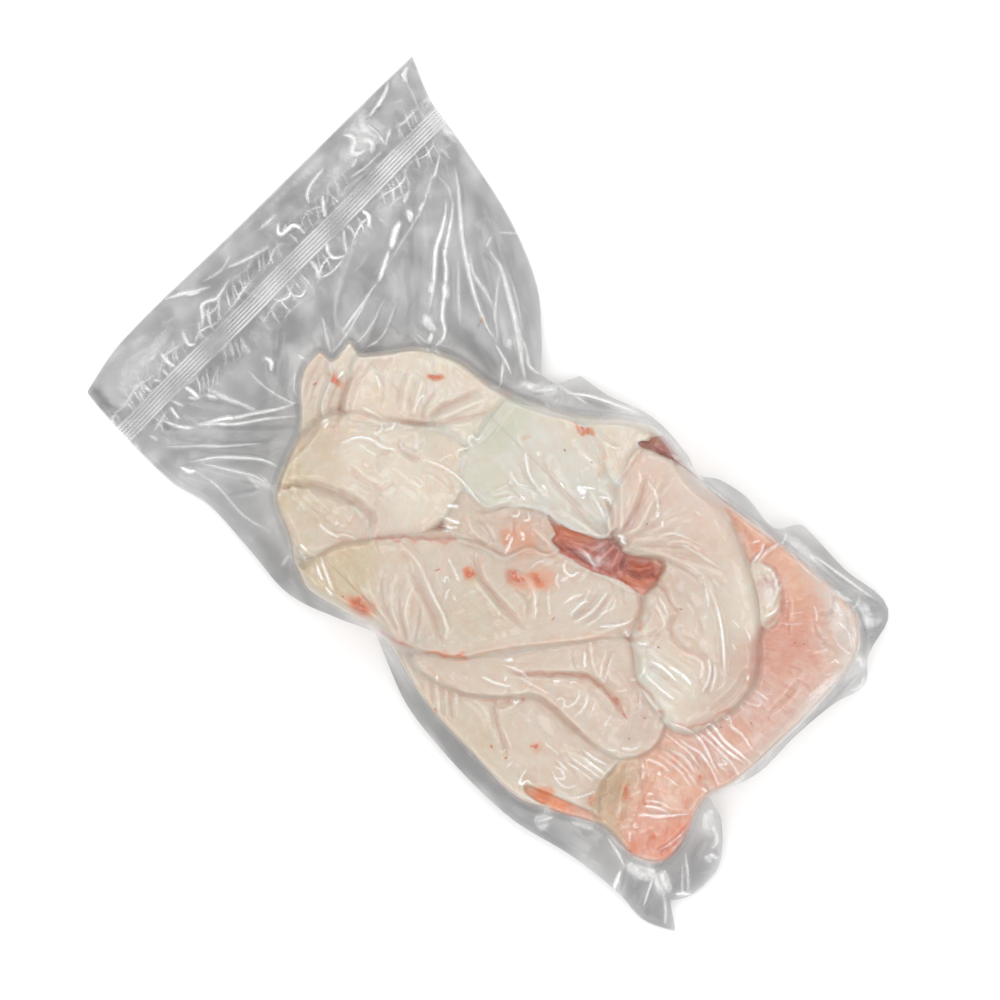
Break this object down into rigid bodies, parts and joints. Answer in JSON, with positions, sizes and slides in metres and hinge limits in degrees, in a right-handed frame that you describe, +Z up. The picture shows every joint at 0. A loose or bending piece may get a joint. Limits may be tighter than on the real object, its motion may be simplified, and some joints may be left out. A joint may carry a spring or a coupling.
{
  "type": "vacuum-packed pork fatback",
  "caption": "Folded slabs of pale pork fatback sealed in a clear vacuum pouch, lying flat with its sealed header and crumpled fins spread round the meat.",
  "frame": {"origin": "middle of the bounding box in plan, on the surface that the pack lies on", "axes": "+X from the sealed header to the pouch's bottom corners, +Y across the pouch, +Z up out of the flat underside"},
  "size_m": [0.4436, 0.259, 0.0631],
  "materials": {
    "clear_film": "clear glossy wrinkled film",
    "pork_fat": "moist pale fat and skin",
    "lean_meat": "moist pink to red lean meat"
  },
  "bodies": {
    "root": {"vacuum_pack": "clear_film"}
  },
  "joints": []
}
